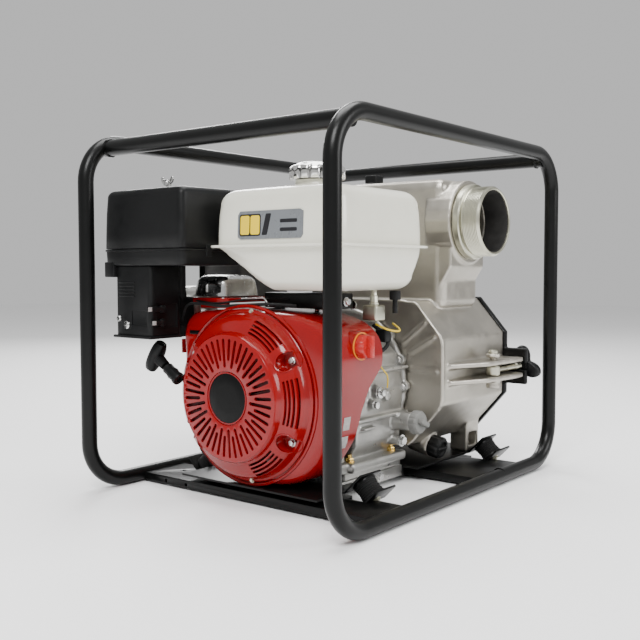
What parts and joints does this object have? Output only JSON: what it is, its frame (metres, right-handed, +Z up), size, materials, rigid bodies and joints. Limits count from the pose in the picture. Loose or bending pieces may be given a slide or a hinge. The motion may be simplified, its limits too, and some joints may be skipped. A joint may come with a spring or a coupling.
{
  "type": "gas engine trash pump",
  "caption": "Petrol-engine trash pump in a tubular frame: recoil-start engine with fuel tank and air cleaner, cast pump casing with threaded port and bolt-on clean-out cover.",
  "frame": {"origin": "on the ground under the middle of the carrying frame", "axes": "+X along the shaft from the recoil starter to the pump's clean-out cover, +Y towards the cylinder side, +Z up"},
  "size_m": [0.648, 0.5008, 0.555],
  "materials": {
    "frame_black": "semi-gloss black enamel",
    "engine_red": "gloss red enamel",
    "tank_cream": "gloss off-white enamel",
    "cast_aluminium": "bead-blasted casting",
    "zinc": "yellowish zinc plate",
    "steel": "bright steel",
    "chrome": "worn chrome",
    "black_plastic": "fine-grained moulding",
    "rubber": "matt rubber",
    "grey_plastic": "matt grey moulding",
    "iron": "dark iron",
    "foam": "pleated paper and foam"
  },
  "bodies": {
    "root": {"air_cleaner_base": "black_plastic", "air_cleaner_lid": "black_plastic", "base_channel_front": "frame_black", "base_channel_rear": "frame_black", "carburettor": "cast_aluminium", "carburettor_cover": "black_plastic", "clean_out_cover": "frame_black", "control_bracket": "engine_red", "cover_plate": "engine_red", "cradle_front": "frame_black", "cradle_rear": "frame_black", "crankcase": "cast_aluminium", "crankcase_cover": "cast_aluminium", "crossbar_front": "frame_black", "crossbar_rear": "frame_black", "cylinder_head": "cast_aluminium", "discharge_nipple": "zinc", "engine_rail_far": "cast_aluminium", "engine_rail_near": "cast_aluminium", "fan_housing": "engine_red", "filter_element": "foam", "fuel_filter_cup": "zinc", "fuel_tank": "tank_cream", "hoop_far": "frame_black", "hoop_near": "frame_black", "isolator_front_far": "rubber", "isolator_front_near": "rubber", "isolator_rear_far": "rubber", "isolator_rear_near": "rubber", "muffler": "iron", "muffler_guard": "frame_black", "pump_casing": "cast_aluminium", "recoil_cover": "engine_red", "rocker_cover": "cast_aluminium", "shaft_seal": "rubber", "spark_plug_cap": "black_plastic", "suction_nipple": "zinc", "top_shroud": "steel", "volute_insert": "iron"},
    "shaft_set": {"crankshaft": "steel", "flywheel": "iron", "impeller": "iron"},
    "piston": {"piston": "cast_aluminium"},
    "starter_grip": {"starter_grip": "black_plastic"},
    "recoil_reel": {"recoil_reel": "black_plastic"},
    "fuel_cap": {"fuel_cap": "chrome"},
    "oil_filler_cap": {"oil_filler_cap": "grey_plastic"},
    "engine_switch": {"engine_switch": "engine_red"},
    "throttle_lever": {"throttle_lever": "black_plastic"},
    "choke_lever": {"choke_lever": "black_plastic"},
    "fuel_lever": {"fuel_lever": "black_plastic"},
    "wing_nut": {"wing_nut": "steel"},
    "flap_valve": {"flap_valve": "rubber"},
    "priming_plug": {"priming_plug": "black_plastic"},
    "drain_plug": {"drain_plug": "black_plastic"},
    "swing_bolt_near": {"swing_bolt_near": "zinc"},
    "swing_bolt_far": {"swing_bolt_far": "zinc"},
    "cover_knob_near": {"cover_knob_near": "black_plastic"},
    "cover_knob_far": {"cover_knob_far": "black_plastic"}
  },
  "joints": [
    {"name": "shaft_spin", "type": "hinge", "parent": "root", "child": "shaft_set", "pos_m": [0, 0.004, 0.16], "axis": [1, 0, 0], "continuous": true},
    {"name": "piston_slide", "type": "slide", "parent": "root", "child": "piston", "axis": [0, 0.9063, 0.4226], "range_m": [-0.028, 0.03]},
    {"name": "starter_pull", "type": "slide", "parent": "root", "child": "starter_grip", "axis": [0, 1, 0], "range_m": [0, 0.08]},
    {"name": "reel_spin", "type": "hinge", "parent": "root", "child": "recoil_reel", "pos_m": [-0.2415, 0.004, 0.16], "axis": [1, 0, 0], "range_deg": [0, 100]},
    {"name": "fuel_cap_turn", "type": "hinge", "parent": "root", "child": "fuel_cap", "pos_m": [-0.128, -0.067, 0.4774], "axis": [0, 0, 1], "range_deg": [0, 90]},
    {"name": "oil_cap_turn", "type": "hinge", "parent": "root", "child": "oil_filler_cap", "pos_m": [0.014, -0.1464, 0.106], "axis": [0, -1, 0], "continuous": true},
    {"name": "engine_switch_turn", "type": "hinge", "parent": "root", "child": "engine_switch", "pos_m": [-0.145, -0.1604, 0.237], "axis": [0, -1, 0], "range_deg": [0, 60]},
    {"name": "throttle_swing", "type": "hinge", "parent": "root", "child": "throttle_lever", "pos_m": [-0.16, -0.02, 0.2866], "axis": [0, 0, 1], "range_deg": [-25, 25]},
    {"name": "choke_swing", "type": "hinge", "parent": "root", "child": "choke_lever", "pos_m": [-0.2546, 0.1356, 0.286], "axis": [0, -1, 0], "range_deg": [-20, 20]},
    {"name": "fuel_lever_swing", "type": "hinge", "parent": "root", "child": "fuel_lever", "pos_m": [-0.2546, 0.1356, 0.265], "axis": [0, -1, 0], "range_deg": [-20, 20]},
    {"name": "wing_nut_spin", "type": "hinge", "parent": "root", "child": "wing_nut", "pos_m": [-0.225, 0.152, 0.4749], "axis": [0, 0, 1], "continuous": true},
    {"name": "flap_swing", "type": "hinge", "parent": "root", "child": "flap_valve", "pos_m": [0.201, 0.026, 0.472], "axis": [0, -1, 0], "range_deg": [-60, 0]},
    {"name": "priming_plug_turn", "type": "hinge", "parent": "root", "child": "priming_plug", "pos_m": [0.15, 0.027, 0.4944], "axis": [0, 0, 1], "continuous": true},
    {"name": "drain_plug_turn", "type": "hinge", "parent": "root", "child": "drain_plug", "pos_m": [0.1, -0.12839, 0.05392], "axis": [0, -0.9785, -0.206], "continuous": true},
    {"name": "swing_bolt_near_swing", "type": "hinge", "parent": "root", "child": "swing_bolt_near", "pos_m": [0.165, -0.205, 0.178], "axis": [0, 0, 1], "range_deg": [-90, 0]},
    {"name": "cover_knob_near_spin", "type": "hinge", "parent": "swing_bolt_near", "child": "cover_knob_near", "pos_m": [0.2625, -0.205, 0.178], "axis": [1, 0, 0], "continuous": true},
    {"name": "swing_bolt_far_swing", "type": "hinge", "parent": "root", "child": "swing_bolt_far", "pos_m": [0.165, 0.205, 0.178], "axis": [0, 0, 1], "range_deg": [0, 90]},
    {"name": "cover_knob_far_spin", "type": "hinge", "parent": "swing_bolt_far", "child": "cover_knob_far", "pos_m": [0.2625, 0.205, 0.178], "axis": [1, 0, 0], "continuous": true}
  ],
  "couplings": [
    {"joint": "reel_spin", "follows": "starter_pull", "rad_per_m": 19.9}
  ]
}
